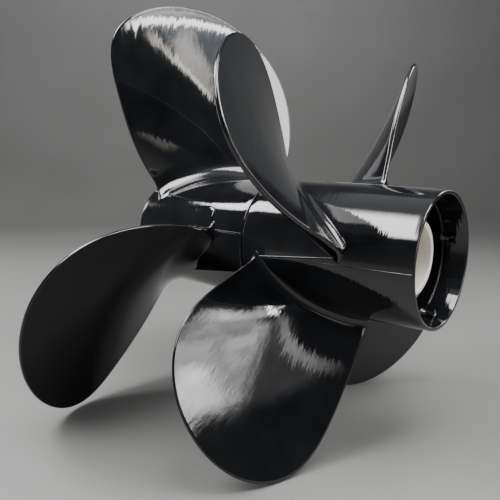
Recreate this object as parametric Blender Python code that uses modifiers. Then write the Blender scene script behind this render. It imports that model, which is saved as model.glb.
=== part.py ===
"""Contra-rotating pair of cast boat propellers that stand nose to tail on their blade tips.

Each propeller is built about its own shaft line: Z runs aft along the shaft, with 0 at the aft rim
of the rear hub, and X points straight up when the pair stands on the floor.
"""
import math
from dataclasses import dataclass

import bmesh
import bpy

# Where the pair stands
SHAFT_HEIGHT = 0.1426
SHAFT_OFFSET = -0.0018
AFT_RIM_X = 0.1320
SEAT_GAP = 0.0003
RUNNING_GAP = 0.0008

# Hub barrels
AFT_RIM_RADIUS = 0.0465
MIDDLE_RADIUS = 0.0497
FRONT_RIM_RADIUS = 0.0452
HUB_CROWN = 0.0006
REAR_HUB_LENGTH = 0.1336
FRONT_HUB_LENGTH = 0.1280
REAR_BORE_RADIUS = 0.0438
FRONT_BORE_RADIUS = 0.0418
RIM_BEVEL = 0.0008

# Flared mouth at the aft rim, its step and its lugs
MOUTH_RADIUS = 0.0440
STEP_RADIUS = 0.0412
STEP_LEDGE = 0.0011
STEP_DEPTH = 0.0165
STEP_LAND = 0.0070
LUG_COUNT = 4
LUG_FIRST_ANGLE = math.radians(14)
LUG_RADIUS = 0.0028
LUG_STAND_OFF = 0.0012
LUG_LENGTH = 0.0110

# Inner hubs, bushes, sleeves and the liner
REAR_INNER_RADIUS = 0.0305
REAR_INNER_BORE = 0.0265
REAR_INNER_END = 0.0200
FRONT_INNER_RADIUS = 0.0345
FRONT_INNER_BORE = 0.0300
REAR_SLEEVE_RADIUS = 0.0165
FRONT_SLEEVE_RADIUS = 0.0245
REAR_SPLINE_RADIUS = 0.0125
FRONT_SPLINE_RADIUS = 0.0208
SPLINE_DEPTH = 0.0014
SPLINE_CORNER_SHARES = (0.0, 0.4, 0.5, 0.9)
REAR_SPLINE_COUNT = 14
FRONT_SPLINE_COUNT = 20
NUT_POCKET_DEPTH = 0.0410
TAIL_POCKET_DEPTH = 0.0160
SLEEVE_RECESS = 0.0010
BUSH_RECESS = 0.0030
LINER_END = 0.0176
LINER_BORE = 0.0230

# Ribs between the inner hub and the barrel
RIB_THICKNESS = 0.0060
RIB_SETBACK = 0.0150
RIB_TAIL_SETBACK = 0.0040
REAR_RIB_AFT_END = 0.0400

# Round pieces
HUB_SIDES = 48
CROWN_STEPS = 6
BUSH_SIDES = 40
LUG_SIDES = 16

# Blade grid and root fillet
CHORD_STEPS = 18
SPAN_STEPS = 12
ROOT_ROWS = 4
FILLET_LEVELS = (0.0, 0.12, 0.42)
FILLET_END_SHARE = 0.5
FILLET_CORNER = 0.8
FILLET_CORNER_POWER = 10

# Finishes
BLACK_PAINT = ("gloss_black_paint", (0.012, 0.013, 0.016), 0.16, 0.0)
CREAM_PLASTIC = ("cream_plastic", (0.80, 0.78, 0.68), 0.45, 0.0)
BLACK_RUBBER = ("black_rubber", (0.02, 0.02, 0.02), 0.85, 0.0)
BRASS = ("brass", (0.62, 0.46, 0.20), 0.35, 1.0)


@dataclass(frozen=True)
class Blades:
    """One propeller's set of like blades, each laid along a helix about the shaft."""

    count: int
    hand: int
    first_angle: float
    tip_radius: float
    pitch: float
    pitch_rise: float
    root_station: float
    rake: float
    rake_curve: float
    chord: tuple
    roundness: float
    skew: tuple
    shoulder: float
    root_thickness: float
    tip_thickness: float
    edge_thickness: float
    camber: float
    fillet: float


REAR_BLADES = Blades(
    count=4, hand=1, first_angle=math.radians(42.65), tip_radius=0.1765,
    pitch=0.429, pitch_rise=0.26, root_station=-0.0854, rake=-0.0071, rake_curve=0.0069,
    chord=(0.0966, 0.0628, 0.0370), roundness=3.02, skew=(0.0114, -0.0538, 0.0552),
    shoulder=0.60, root_thickness=0.0105, tip_thickness=0.0034, edge_thickness=0.0022, camber=0.0022,
    fillet=0.0065)

FRONT_BLADES = Blades(
    count=3, hand=-1, first_angle=math.radians(-3.7), tip_radius=0.1970,
    pitch=0.424, pitch_rise=0.07, root_station=-0.2078, rake=-0.0358, rake_curve=0.0108,
    chord=(0.1080, 0.1705, -0.1162), roundness=9.58, skew=(-0.0014, 0.0426, -0.0659),
    shoulder=0.80, root_thickness=0.0115, tip_thickness=0.0036, edge_thickness=0.0022, camber=0.0026,
    fillet=0.0070)


def clear_scene():
    """Remove every object of the open file."""
    for old in list(bpy.data.objects):
        bpy.data.objects.remove(old, do_unlink=True)


def new_collection(name):
    """Make a collection and link it to the scene."""
    collection = bpy.data.collections.new(name)
    bpy.context.scene.collection.children.link(collection)
    return collection


def finish(spec):
    """Return the material of one finish, made on first use."""
    name, colour, roughness, metallic = spec
    material = bpy.data.materials.get(name)
    if material is None:
        material = bpy.data.materials.new(name)
        material.use_nodes = True
        shader = material.node_tree.nodes["Principled BSDF"]
        shader.inputs["Base Color"].default_value = (*colour, 1.0)
        shader.inputs["Roughness"].default_value = roughness
        shader.inputs["Metallic"].default_value = metallic
    return material


def add_object(name, mesh, collection, parent, spec=None):
    """Link a new object under its propeller's shaft empty."""
    piece = bpy.data.objects.new(name, mesh)
    collection.objects.link(piece)
    piece.parent = parent
    if spec:
        mesh.materials.append(finish(spec))
    return piece


def shaft_empty(name, collection):
    """Make an empty on the shaft line, turned so that its Z runs aft and its X points up."""
    empty = bpy.data.objects.new(name, None)
    empty.location = (AFT_RIM_X, SHAFT_OFFSET, SHAFT_HEIGHT)
    empty.rotation_euler = (math.pi, -math.pi / 2, 0.0)
    collection.objects.link(empty)
    return empty


def turned(name, profile, sides, collection, parent, spec):
    """Turn a closed (radius, station) profile, outer side first and aft end first, about the shaft."""
    mesh = bpy.data.meshes.new(name)
    points = [(radius, 0.0, station) for radius, station in profile]
    edges = [(i, (i + 1) % len(points)) for i in range(len(points))]
    mesh.from_pydata(points, edges, [])
    piece = add_object(name, mesh, collection, parent, spec)
    screw = piece.modifiers.new("Turn", "SCREW")
    screw.axis = "Z"
    screw.steps = sides
    screw.render_steps = sides
    screw.use_merge_vertices = True
    screw.merge_threshold = 0.00001
    screw.use_smooth_shade = False
    return piece


def ring(outer, inner, aft, fore):
    """Return the profile of a plain tube between two stations."""
    return [(outer, aft), (outer, fore), (inner, fore), (inner, aft)]


def hub_radius(station):
    """Return the barrels' outer radius, slightly crowned, at a station of the shaft line."""
    if station > -REAR_HUB_LENGTH:
        share = -station / REAR_HUB_LENGTH
        plain = AFT_RIM_RADIUS + (MIDDLE_RADIUS - AFT_RIM_RADIUS) * share
    else:
        share = (-station - REAR_HUB_LENGTH) / FRONT_HUB_LENGTH
        plain = MIDDLE_RADIUS + (FRONT_RIM_RADIUS - MIDDLE_RADIUS) * share
    return plain + HUB_CROWN * 4 * share * (1 - share)


def barrel_outside(aft, fore):
    """Return the outer line of a barrel between two stations, with a small bevel at each rim."""
    line = [(hub_radius(aft) - RIM_BEVEL, aft)]
    top = aft - RIM_BEVEL
    bottom = fore + RIM_BEVEL
    for i in range(CROWN_STEPS + 1):
        station = top + (bottom - top) * i / CROWN_STEPS
        line.append((hub_radius(station), station))
    line.append((hub_radius(fore) - RIM_BEVEL, fore))
    return line


def rear_barrel(collection, cutters, parent):
    """Make the rear hub's barrel with its flared mouth, step and lugs."""
    fore = -REAR_HUB_LENGTH
    land = STEP_RADIUS - STEP_LEDGE
    inside = [
        (REAR_BORE_RADIUS + RIM_BEVEL, fore),
        (REAR_BORE_RADIUS, fore + RIM_BEVEL),
        (REAR_BORE_RADIUS, -STEP_DEPTH - 2 * STEP_LAND),
        (land, -STEP_DEPTH - STEP_LAND),
        (land, -STEP_DEPTH),
        (STEP_RADIUS, -STEP_DEPTH),
        (MOUTH_RADIUS, -RIM_BEVEL),
        (MOUTH_RADIUS + RIM_BEVEL, 0.0),
    ]
    barrel = turned("rear_hub_barrel", barrel_outside(0.0, fore) + inside, HUB_SIDES,
                    collection, parent, BLACK_PAINT)
    for i in range(LUG_COUNT):
        angle = LUG_FIRST_ANGLE + i * math.tau / LUG_COUNT
        mesh = bpy.data.meshes.new("mouth_lug")
        shape = bmesh.new()
        bmesh.ops.create_cone(shape, cap_ends=True, segments=LUG_SIDES, radius1=LUG_RADIUS,
                              radius2=LUG_RADIUS, depth=LUG_LENGTH + STEP_LEDGE)
        shape.to_mesh(mesh)
        shape.free()
        lug = add_object(f"mouth_lug_{i + 1}", mesh, cutters, parent)
        reach = STEP_RADIUS + LUG_STAND_OFF
        middle = -STEP_DEPTH + (LUG_LENGTH - STEP_LEDGE) / 2
        lug.location = (reach * math.cos(angle), reach * math.sin(angle), middle)
        lug.hide_render = True
        lug.display_type = "WIRE"
        union = barrel.modifiers.new(f"Lug {i + 1}", "BOOLEAN")
        union.operation = "UNION"
        union.solver = "EXACT"
        union.object = lug
    return barrel


def front_barrel(collection, parent):
    """Make the front hub's barrel."""
    aft = -REAR_HUB_LENGTH - RUNNING_GAP
    fore = -REAR_HUB_LENGTH - FRONT_HUB_LENGTH
    inside = [
        (FRONT_BORE_RADIUS + RIM_BEVEL, fore),
        (FRONT_BORE_RADIUS, fore + RIM_BEVEL),
        (FRONT_BORE_RADIUS, aft - RIM_BEVEL),
        (FRONT_BORE_RADIUS + RIM_BEVEL, aft),
    ]
    return turned("front_hub_barrel", barrel_outside(aft, fore) + inside, HUB_SIDES,
                  collection, parent, BLACK_PAINT)


def skin_point(blades, angle, span, along, side):
    """Return a point of a blade's skin.

    span runs from the barrel's surface (0) to the tip (1). along runs across the blade, from -1 at
    the leading edge to +1 at the trailing edge of its widest line. side is +1 on the aft face, -1 on
    the forward face, or between them.
    """
    nominal = MIDDLE_RADIUS + (blades.tip_radius - MIDDLE_RADIUS) * span
    height = nominal - MIDDLE_RADIUS
    rise = min(1.0, height / blades.fillet)
    growth = blades.fillet * (1 - math.sqrt(1 - (1 - rise) ** 2))
    flare = growth * math.sqrt(1 - FILLET_CORNER * abs(along) ** FILLET_CORNER_POWER)
    chord = sum(part * span ** i for i, part in enumerate(blades.chord))
    middle = sum(part * span ** (i + 1) for i, part in enumerate(blades.skew))
    pitch = blades.pitch * (1 + blades.pitch_rise * (span - 0.5))
    slope = math.atan2(pitch, math.tau * nominal)
    fullness = max(0.0, 1 - along ** 2 - span ** blades.roundness)
    fullest = blades.tip_thickness + (blades.root_thickness - blades.tip_thickness) * (1 - span)
    thickness = blades.edge_thickness + (fullest - blades.edge_thickness) * fullness
    hollow = blades.camber * fullness
    aft_side = blades.edge_thickness / 2 - hollow + flare
    fore_side = blades.edge_thickness / 2 - hollow - thickness - flare
    helix = middle + along * (chord / 2 + growth * FILLET_END_SHARE)
    across = fore_side + (aft_side - fore_side) * (side + 1) / 2
    station = blades.root_station + blades.rake * span + blades.rake_curve * span ** 2
    station += helix * math.sin(slope) + across * math.cos(slope)
    turn = angle + blades.hand * (helix * math.cos(slope) - across * math.sin(slope)) / nominal
    surface = hub_radius(station) + SEAT_GAP
    radius = surface + (blades.tip_radius - surface) * span
    return radius * math.cos(turn), radius * math.sin(turn), station


def blade_grid(blades):
    """Return the (span, along) places of a blade's grid, row by row from root to tip.

    Rows are straight at the root and bend into the round tip above the shoulder, so that no row
    shrinks to a point.
    """
    even = [j / CHORD_STEPS for j in range(CHORD_STEPS + 1)]
    shares = [(share + (1 - math.cos(math.pi * share)) / 2) / 2 for share in even]
    fillet_span = blades.fillet / (blades.tip_radius - MIDDLE_RADIUS)
    rows = [[(level * fillet_span, 2 * share - 1) for share in shares] for level in FILLET_LEVELS]
    turn = math.asin(blades.shoulder ** (blades.roundness / 2))
    for i in range(SPAN_STEPS + 1):
        lift = i / SPAN_STEPS
        edge_span = fillet_span + (blades.shoulder - fillet_span) * lift
        width = math.sqrt(1 - edge_span ** blades.roundness) - lift * math.cos(turn)
        row = []
        for share in shares:
            around = turn + (math.pi - 2 * turn) * share
            span = (1 - lift) * fillet_span + lift * math.sin(around) ** (2 / blades.roundness)
            row.append((span, (2 * share - 1) * width - lift * math.cos(around)))
        rows.append(row)
    return rows


def blade_mesh(name, blades, angle):
    """Make one blade's closed mesh: two faces, the rim between them, and the seat on the barrel."""
    shape = bmesh.new()
    grid = blade_grid(blades)

    def line(row, side):
        return [shape.verts.new(skin_point(blades, angle, span, along, side)) for span, along in row]

    def skin(near, far):
        for j in range(CHORD_STEPS):
            shape.faces.new((near[j], near[j + 1], far[j + 1], far[j]))

    aft_face = [line(row, 1) for row in grid]
    fore_face = [line(row, -1) for row in grid]
    for lower, upper in zip(aft_face, aft_face[1:]):
        skin(lower, upper)
    for lower, upper in zip(fore_face, fore_face[1:]):
        skin(upper, lower)
    skin(aft_face[-1], fore_face[-1])
    seat = [line(grid[0], 1 - 2 * k / ROOT_ROWS) for k in range(1, ROOT_ROWS)]
    seat = [aft_face[0], *seat, fore_face[0]]
    for near, far in zip(seat, seat[1:]):
        for j in range(CHORD_STEPS):
            shape.faces.new((near[j + 1], near[j], far[j]))
            shape.faces.new((near[j + 1], far[j], far[j + 1]))
    for edge in (0, CHORD_STEPS):
        shape.faces.new([aft_face[1][edge], *(row[edge] for row in seat), fore_face[1][edge]])
        for i in range(1, len(grid) - 1):
            shape.faces.new((aft_face[i][edge], aft_face[i + 1][edge],
                             fore_face[i + 1][edge], fore_face[i][edge]))
    bmesh.ops.triangulate(shape, faces=shape.faces)
    bmesh.ops.recalc_face_normals(shape, faces=shape.faces)
    mesh = bpy.data.meshes.new(name)
    shape.to_mesh(mesh)
    shape.free()
    return mesh


def blade_set(prefix, blades, collection, parent):
    """Make a propeller's blades, each an object of its own."""
    for i in range(blades.count):
        angle = blades.first_angle + i * math.tau / blades.count
        name = f"{prefix}_blade_{i + 1}"
        add_object(name, blade_mesh(name, blades, angle), collection, parent, BLACK_PAINT)


def rib_set(prefix, blades, inner, outer, aft, fore, collection, parent):
    """Make the flat ribs that hold the inner hub in its barrel, one under each blade."""
    low = inner + SEAT_GAP
    high = outer - 2 * SEAT_GAP
    for i in range(blades.count):
        angle = blades.first_angle + i * math.tau / blades.count
        name = f"{prefix}_rib_{i + 1}"
        shape = bmesh.new()
        bmesh.ops.create_cube(shape, size=1.0)
        bmesh.ops.scale(shape, vec=(high - low, RIB_THICKNESS, aft - fore), verts=shape.verts)
        mesh = bpy.data.meshes.new(name)
        shape.to_mesh(mesh)
        shape.free()
        rib = add_object(name, mesh, collection, parent, BLACK_PAINT)
        middle = (low + high) / 2
        rib.location = (middle * math.cos(angle), middle * math.sin(angle), (aft + fore) / 2)
        rib.rotation_euler = (0.0, 0.0, angle)


def spline_outline(radius, depth, count):
    """Return the toothed outline of an internal spline, four corners a tooth."""
    points = []
    for i in range(count * 4):
        tooth = i // 4
        corner = i % 4
        angle = math.tau * (tooth + SPLINE_CORNER_SHARES[corner]) / count
        reach = radius if corner < 2 else radius + depth
        points.append((reach * math.cos(angle), reach * math.sin(angle)))
    return points


def splined_sleeve(name, outer, bore, count, aft, fore, collection, parent):
    """Make a brass sleeve with internal splines, as a flat outline extruded along the shaft."""
    curve = bpy.data.curves.new(name, "CURVE")
    curve.dimensions = "2D"
    curve.fill_mode = "BOTH"
    curve.extrude = (aft - fore) / 2
    circle = [(outer * math.cos(math.tau * i / BUSH_SIDES), outer * math.sin(math.tau * i / BUSH_SIDES))
              for i in range(BUSH_SIDES)]
    for outline in (circle, spline_outline(bore, SPLINE_DEPTH, count)):
        spline = curve.splines.new("POLY")
        spline.points.add(len(outline) - 1)
        for point, (x, y) in zip(spline.points, outline):
            point.co = (x, y, 0.0, 1.0)
        spline.use_cyclic_u = True
    curve.materials.append(finish(BRASS))
    sleeve = bpy.data.objects.new(name, curve)
    collection.objects.link(sleeve)
    sleeve.parent = parent
    sleeve.location = (0.0, 0.0, (aft + fore) / 2)
    return sleeve


def build_rear(collection, cutters):
    """Build the four-bladed rear propeller."""
    shaft = shaft_empty("rear_shaft_line", collection)
    fore = -REAR_HUB_LENGTH
    rear_barrel(collection, cutters, shaft)
    blade_set("rear", REAR_BLADES, collection, shaft)
    turned("rear_inner_hub", ring(REAR_INNER_RADIUS, REAR_INNER_BORE, -REAR_INNER_END, fore),
           BUSH_SIDES, collection, shaft, BLACK_PAINT)
    rib_set("rear", REAR_BLADES, REAR_INNER_RADIUS, REAR_BORE_RADIUS, -REAR_RIB_AFT_END,
            fore + RIB_SETBACK, collection, shaft)
    pocket = fore + TAIL_POCKET_DEPTH
    turned("rear_rubber_bush", ring(REAR_INNER_BORE - SEAT_GAP, REAR_SLEEVE_RADIUS + SEAT_GAP,
                                    -NUT_POCKET_DEPTH, pocket + BUSH_RECESS),
           BUSH_SIDES, collection, shaft, BLACK_RUBBER)
    splined_sleeve("rear_splined_sleeve", REAR_SLEEVE_RADIUS, REAR_SPLINE_RADIUS, REAR_SPLINE_COUNT,
                   -NUT_POCKET_DEPTH, pocket, collection, shaft)
    turned("rear_plastic_liner", ring(REAR_INNER_BORE - SEAT_GAP, LINER_BORE, -LINER_END,
                                      -NUT_POCKET_DEPTH + SEAT_GAP),
           BUSH_SIDES, collection, shaft, CREAM_PLASTIC)


def build_front(collection):
    """Build the three-bladed front propeller."""
    shaft = shaft_empty("front_shaft_line", collection)
    aft = -REAR_HUB_LENGTH - RUNNING_GAP
    fore = -REAR_HUB_LENGTH - FRONT_HUB_LENGTH
    front_barrel(collection, shaft)
    blade_set("front", FRONT_BLADES, collection, shaft)
    turned("front_inner_hub", ring(FRONT_INNER_RADIUS, FRONT_INNER_BORE, aft, fore),
           BUSH_SIDES, collection, shaft, BLACK_PAINT)
    rib_set("front", FRONT_BLADES, FRONT_INNER_RADIUS, FRONT_BORE_RADIUS, aft - RIB_TAIL_SETBACK,
            fore + RIB_SETBACK, collection, shaft)
    turned("front_rubber_bush", ring(FRONT_INNER_BORE - SEAT_GAP, FRONT_SLEEVE_RADIUS + SEAT_GAP,
                                     aft - BUSH_RECESS, fore + BUSH_RECESS),
           BUSH_SIDES, collection, shaft, BLACK_RUBBER)
    splined_sleeve("front_splined_sleeve", FRONT_SLEEVE_RADIUS, FRONT_SPLINE_RADIUS, FRONT_SPLINE_COUNT,
                   aft - SLEEVE_RECESS, fore + SLEEVE_RECESS, collection, shaft)


def main():
    """Build both propellers."""
    clear_scene()
    pieces = new_collection("contra_rotating_propellers")
    cutters = new_collection("cutters")
    build_front(pieces)
    build_rear(pieces, cutters)


main()
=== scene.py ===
"""The finish of a contra-rotating pair of cast boat propellers, sprayed gloss black.

Every propeller piece is laid out about the shaft line. Stations run aft along it, with 0 at the aft
rim of the rear hub, and a turn is measured from straight up towards the camera's side.
"""
import logging
import math
from dataclasses import dataclass, fields
from enum import Enum
from typing import Sequence, Union

import bmesh
import bpy
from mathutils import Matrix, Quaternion, Vector


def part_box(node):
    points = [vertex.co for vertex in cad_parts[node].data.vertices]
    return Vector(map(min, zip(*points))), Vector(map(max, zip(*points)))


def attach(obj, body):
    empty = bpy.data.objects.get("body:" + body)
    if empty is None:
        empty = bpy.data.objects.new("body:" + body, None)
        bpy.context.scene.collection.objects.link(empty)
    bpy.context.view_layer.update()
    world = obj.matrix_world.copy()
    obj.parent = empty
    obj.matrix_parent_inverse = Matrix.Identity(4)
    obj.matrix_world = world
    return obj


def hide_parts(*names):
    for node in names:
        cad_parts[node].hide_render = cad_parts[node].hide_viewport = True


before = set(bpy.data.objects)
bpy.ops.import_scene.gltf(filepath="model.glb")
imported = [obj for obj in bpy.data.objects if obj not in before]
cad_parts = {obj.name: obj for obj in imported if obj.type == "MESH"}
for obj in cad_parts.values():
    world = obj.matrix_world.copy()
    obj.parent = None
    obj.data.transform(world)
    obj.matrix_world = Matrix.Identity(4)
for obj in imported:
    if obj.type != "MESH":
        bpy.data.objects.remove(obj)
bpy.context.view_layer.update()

LOG = logging.getLogger("propellers")

Pair = tuple[float, float]
Triple = tuple[float, float, float]

SHARP_ANGLE = math.radians(38)
QUARTER_TURN = math.pi / 2
DOWN: Triple = (0.0, 0.0, -1.0)
FORWARD: Triple = (-1.0, 0.0, 0.0)
TO_CAMERA: Triple = (0.0, -1.0, 0.0)


class Body(Enum):
    """The two propellers, each of which turns on its own."""

    FRONT = "front_propeller"
    REAR = "rear_propeller"


class Hand(Enum):
    """Which way a blade's helix winds about the shaft."""

    LEFT = -1.0
    RIGHT = 1.0


class Slot(Enum):
    """The record's material slots."""

    PAINT = "black_paint"
    PLASTIC = "cream_plastic"
    RUBBER = "rubber"
    BRASS = "brass"


class Tint(Enum):
    """The colours of the studio's light."""

    PLAIN = (1.0, 1.0, 1.0)
    WARM = (1.0, 0.95, 0.86)
    COOL = (0.86, 0.92, 1.0)


class Socket(Enum):
    """The kinds of input that a geometry tree takes."""

    NUMBER = "NodeSocketFloat"
    COUNT = "NodeSocketInt"
    VECTOR = "NodeSocketVector"
    MATERIAL = "NodeSocketMaterial"
    GEOMETRY = "NodeSocketGeometry"


@dataclass(frozen=True)
class ShaftLine:
    """The line that both propellers turn on.

    Attributes:
        start: Where the line leaves the aft rim.
    """

    start: Vector

    @classmethod
    def from_frame(cls) -> "ShaftLine":
        """Find the line from the rear hub's packed barrel.

        Returns:
            The shaft line.
        """
        low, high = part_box("rear_hub_barrel")
        middle = (low + high) / 2
        return cls(Vector((high.x, middle.y, middle.z)))

    def stations(self, node: str) -> Pair:
        """Return the aft and forward stations of a CAD node."""
        low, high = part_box(node)
        return high.x - self.start.x, low.x - self.start.x

    def radius(self, node: str) -> float:
        """Return the outer radius of a round CAD node."""
        low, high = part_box(node)
        return (high.z - low.z) / 2


def wired(tree: bpy.types.NodeTree, kind: str, output: str, inputs: dict[str | int, object],
          **settings: object) -> bpy.types.NodeSocket:
    """Add a node to a tree.

    Args:
        tree: The tree.
        kind: The node's type.
        output: The name of the output wanted.
        inputs: The output or the plain value that each input takes, under its name or its place.
        settings: The node's own options.

    Returns:
        The output wanted.
    """
    node = tree.nodes.new(kind)
    for option, value in settings.items():
        setattr(node, option, value)
    for name, value in inputs.items():
        if isinstance(value, bpy.types.NodeSocket):
            tree.links.new(value, node.inputs[name])
        else:
            node.inputs[name].default_value = value
    return node.outputs[output]


Number = Union["Field", float]


class Field:
    """A number that a geometry tree works out at every point."""

    def __init__(self, tree: "Tree", socket: bpy.types.NodeSocket) -> None:
        """Hold the tree and the output socket that carries the number."""
        self.tree = tree
        self.socket = socket

    def __add__(self, other: Number) -> "Field":
        """Return the sum."""
        return self.tree.math("ADD", self, other)

    def __radd__(self, other: Number) -> "Field":
        """Return the sum with the number on the left."""
        return self.tree.math("ADD", other, self)

    def __sub__(self, other: Number) -> "Field":
        """Return the difference."""
        return self.tree.math("SUBTRACT", self, other)

    def __rsub__(self, other: Number) -> "Field":
        """Return the difference with the number on the left."""
        return self.tree.math("SUBTRACT", other, self)

    def __mul__(self, other: Number) -> "Field":
        """Return the product."""
        return self.tree.math("MULTIPLY", self, other)

    def __rmul__(self, other: Number) -> "Field":
        """Return the product with the number on the left."""
        return self.tree.math("MULTIPLY", other, self)

    def __truediv__(self, other: Number) -> "Field":
        """Return the quotient."""
        return self.tree.math("DIVIDE", self, other)

    def __rtruediv__(self, other: Number) -> "Field":
        """Return the quotient with the number on the left."""
        return self.tree.math("DIVIDE", other, self)

    def __pow__(self, other: Number) -> "Field":
        """Return the power."""
        return self.tree.math("POWER", self, other)


class Tree:
    """A geometry node tree whose rule is written as plain sums."""

    def __init__(self, name: str) -> None:
        """Make the tree with its ends and the inputs that every piece needs.

        Args:
            name: The tree's name.
        """
        self.group = bpy.data.node_groups.new(name, "GeometryNodeTree")
        for way in ("INPUT", "OUTPUT"):
            self.group.interface.new_socket(name="Shape", in_out=way, socket_type=Socket.GEOMETRY.value)
        self.entry = self.group.nodes.new("NodeGroupInput")
        self.end = self.group.nodes.new("NodeGroupOutput")
        self.finish = self.size("Finish", Socket.MATERIAL)
        self.origin = self.size("Shaft line", Socket.VECTOR)

    def size(self, name: str, kind: Socket = Socket.NUMBER) -> Field:
        """Add a named input and return it, for use in sums."""
        self.group.interface.new_socket(name=name, in_out="INPUT", socket_type=kind.value)
        return Field(self, self.entry.outputs[name])

    def three(self, name: str) -> tuple[Field, Field, Field]:
        """Add a named input that holds three sizes and return them."""
        return self.parts(self.size(name, Socket.VECTOR))

    def node(self, kind: str, output: str, inputs: dict[str | int, object], **settings: object) -> Field:
        """Add a node.

        Args:
            kind: The node's type.
            output: The name of the output wanted.
            inputs: What each input takes, under its name or its place.
            settings: The node's own options.

        Returns:
            The output wanted.
        """
        values = {name: value.socket if isinstance(value, Field) else value for name, value in inputs.items()}
        return Field(self, wired(self.group, kind, output, values, **settings))

    def math(self, operation: str, *values: Number) -> Field:
        """Return the result of a Math node, whose inputs take the values in order."""
        return self.node("ShaderNodeMath", "Value", dict(enumerate(values)), operation=operation)

    def vector(self, x: Number, y: Number, z: Number) -> Field:
        """Return a vector of three numbers."""
        return self.node("ShaderNodeCombineXYZ", "Vector", {"X": x, "Y": y, "Z": z})

    def parts(self, vector: Field) -> tuple[Field, Field, Field]:
        """Take a vector apart.

        Args:
            vector: The vector.

        Returns:
            Its three numbers.
        """
        first = self.node("ShaderNodeSeparateXYZ", "X", {"Vector": vector})
        outputs = first.socket.node.outputs
        return first, Field(self, outputs["Y"]), Field(self, outputs["Z"])

    def position(self) -> tuple[Field, Field, Field]:
        """Return the three numbers of each point's own place."""
        return self.parts(self.node("GeometryNodeInputPosition", "Position", {}))

    def about_shaft(self, station: Number, radius: Field, turn: Field) -> Field:
        """Return the place at a station, a radius and a turn."""
        return self.vector(station, -1 * radius * self.math("SINE", turn), radius * self.math("COSINE", turn))

    def put(self, shape: Field, place: Field, offset: Field | Triple = (0.0, 0.0, 0.0)) -> Field:
        """Return a shape with each point put at a place, counted from an offset."""
        return self.node("GeometryNodeSetPosition", "Geometry",
                         {"Geometry": shape, "Position": place, "Offset": offset})

    def round_the_shaft(self, shape: Field) -> Field:
        """Add evenly spaced copies of a shape about the shaft line.

        Args:
            shape: The shape as it stands straight above the line.

        Returns:
            The copies.
        """
        count = self.size("Count", Socket.COUNT)
        index = self.node("GeometryNodeInputIndex", "Index", {})
        turn = self.size("First turn") + index * math.tau / count
        spots = self.node("GeometryNodePoints", "Points", {"Count": count, "Position": self.origin})
        return self.node("GeometryNodeInstanceOnPoints", "Instances",
                         {"Points": spots, "Instance": shape, "Rotation": self.vector(turn, 0.0, 0.0)})

    def close(self, shape: Field) -> None:
        """End the tree: real meshes, smooth shading and the finish.

        Args:
            shape: The shape to give out.
        """
        real = self.node("GeometryNodeRealizeInstances", "Geometry", {"Geometry": shape})
        smooth = self.node("GeometryNodeSetShadeSmooth", "Geometry", {"Geometry": real})
        dressed = self.node("GeometryNodeSetMaterial", "Geometry",
                            {"Geometry": smooth, "Material": self.finish})
        self.group.links.new(dressed.socket, self.end.inputs["Shape"])

    def grow(self, name: str, shaft: ShaftLine, finish: bpy.types.Material, sizes: dict[str, object],
             seed: bpy.types.Mesh | None = None) -> bpy.types.Object:
        """Run the tree and keep its result as a plain mesh.

        Args:
            name: The finished piece's name.
            shaft: The shaft line.
            finish: The piece's material.
            sizes: A value for each of the tree's other inputs. One that lacks its value is an error.
            seed: The mesh that the tree starts from, where it needs one.

        Returns:
            The finished piece, at the origin.
        """
        values = {"Finish": finish, "Shaft line": shaft.start, **sizes}
        piece = bpy.data.objects.new(name, seed or bpy.data.meshes.new(name))
        bpy.context.scene.collection.objects.link(piece)
        modifier = piece.modifiers.new("Rule", "NODES")
        modifier.node_group = self.group
        for item in self.group.interface.items_tree:
            if item.in_out == "INPUT" and item.socket_type != Socket.GEOMETRY.value:
                modifier[item.identifier] = values[item.name]
        ready = piece.evaluated_get(bpy.context.evaluated_depsgraph_get())
        mesh = bpy.data.meshes.new_from_object(ready)
        piece.modifiers.remove(modifier)
        piece.data = mesh
        mesh.name = name
        face_outwards(mesh)
        return piece


def face_outwards(mesh: bpy.types.Mesh) -> None:
    """Turn a closed mesh's faces outwards where they point in.

    Args:
        mesh: The mesh to mend.
    """
    shape = bmesh.new()
    shape.from_mesh(mesh)
    bmesh.ops.recalc_face_normals(shape, faces=shape.faces)
    shape.to_mesh(mesh)
    shape.free()
    mesh.update()


def crowned(share: Number, aft_radius: Number, fore_radius: Number, crown: Number) -> Number:
    """Find the outer radius of a tapered, crowned barrel.

    Args:
        share: The place along its taper, from 0 at the aft end to 1 at the forward end.
        aft_radius: The radius at 0.
        fore_radius: The radius at 1.
        crown: How far the middle bulges.

    Returns:
        The radius there.
    """
    return aft_radius + (fore_radius - aft_radius) * share + crown * 4 * share * (1 - share)


@dataclass(frozen=True)
class BarrelLine:
    """The tapered, slightly crowned outside of one hub barrel.

    Attributes:
        aft: The barrel's aft station.
        fore: Its forward station.
        datum: The station that its taper is counted from.
        aft_radius: The radius at the datum.
        fore_radius: The radius at the forward end.
        crown: How far the middle bulges.
    """

    aft: float
    fore: float
    datum: float
    aft_radius: float
    fore_radius: float
    crown: float

    def radius(self, station: float) -> float:
        """Return the outer radius at a station."""
        share = (self.datum - station) / (self.datum - self.fore)
        return crowned(share, self.aft_radius, self.fore_radius, self.crown)

    def sizes(self) -> dict[str, object]:
        """List its sizes as the barrel inputs of a tree.

        Returns:
            A value for each named input.
        """
        return {"Barrel datum": self.datum, "Barrel length": self.datum - self.fore,
                "Barrel aft radius": self.aft_radius, "Barrel fore radius": self.fore_radius,
                "Barrel crown": self.crown}


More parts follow.
